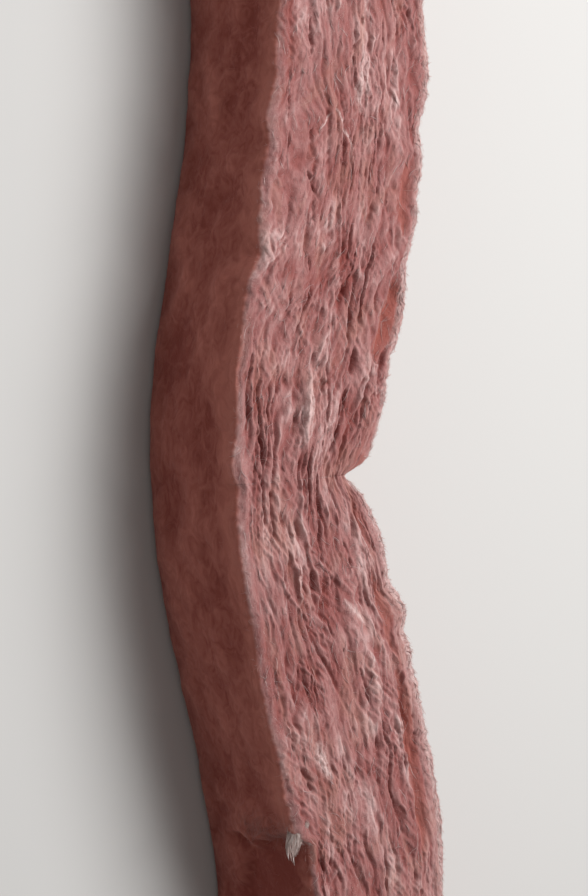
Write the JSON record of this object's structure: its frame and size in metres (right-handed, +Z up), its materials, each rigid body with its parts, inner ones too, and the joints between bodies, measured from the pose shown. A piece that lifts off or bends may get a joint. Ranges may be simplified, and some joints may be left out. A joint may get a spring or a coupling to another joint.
{
  "type": "fiberglass insulation batt",
  "caption": "Unfaced pink fiberglass wool batt, ripped to stud-bay depth, bowed from its bag fold, with a pinched crease halfway along one side.",
  "frame": {"origin": "middle of the box around the batt, on the floor that it lies on", "axes": "+Y along the batt, +X across its layers towards the creased side, +Z up out of the ridged cut face"},
  "size_m": [0.2278, 2.352, 0.14],
  "materials": {
    "glass_wool": "matte, fibrous"
  },
  "bodies": {
    "root": {"glass_wool_batt": "glass_wool"}
  },
  "joints": []
}
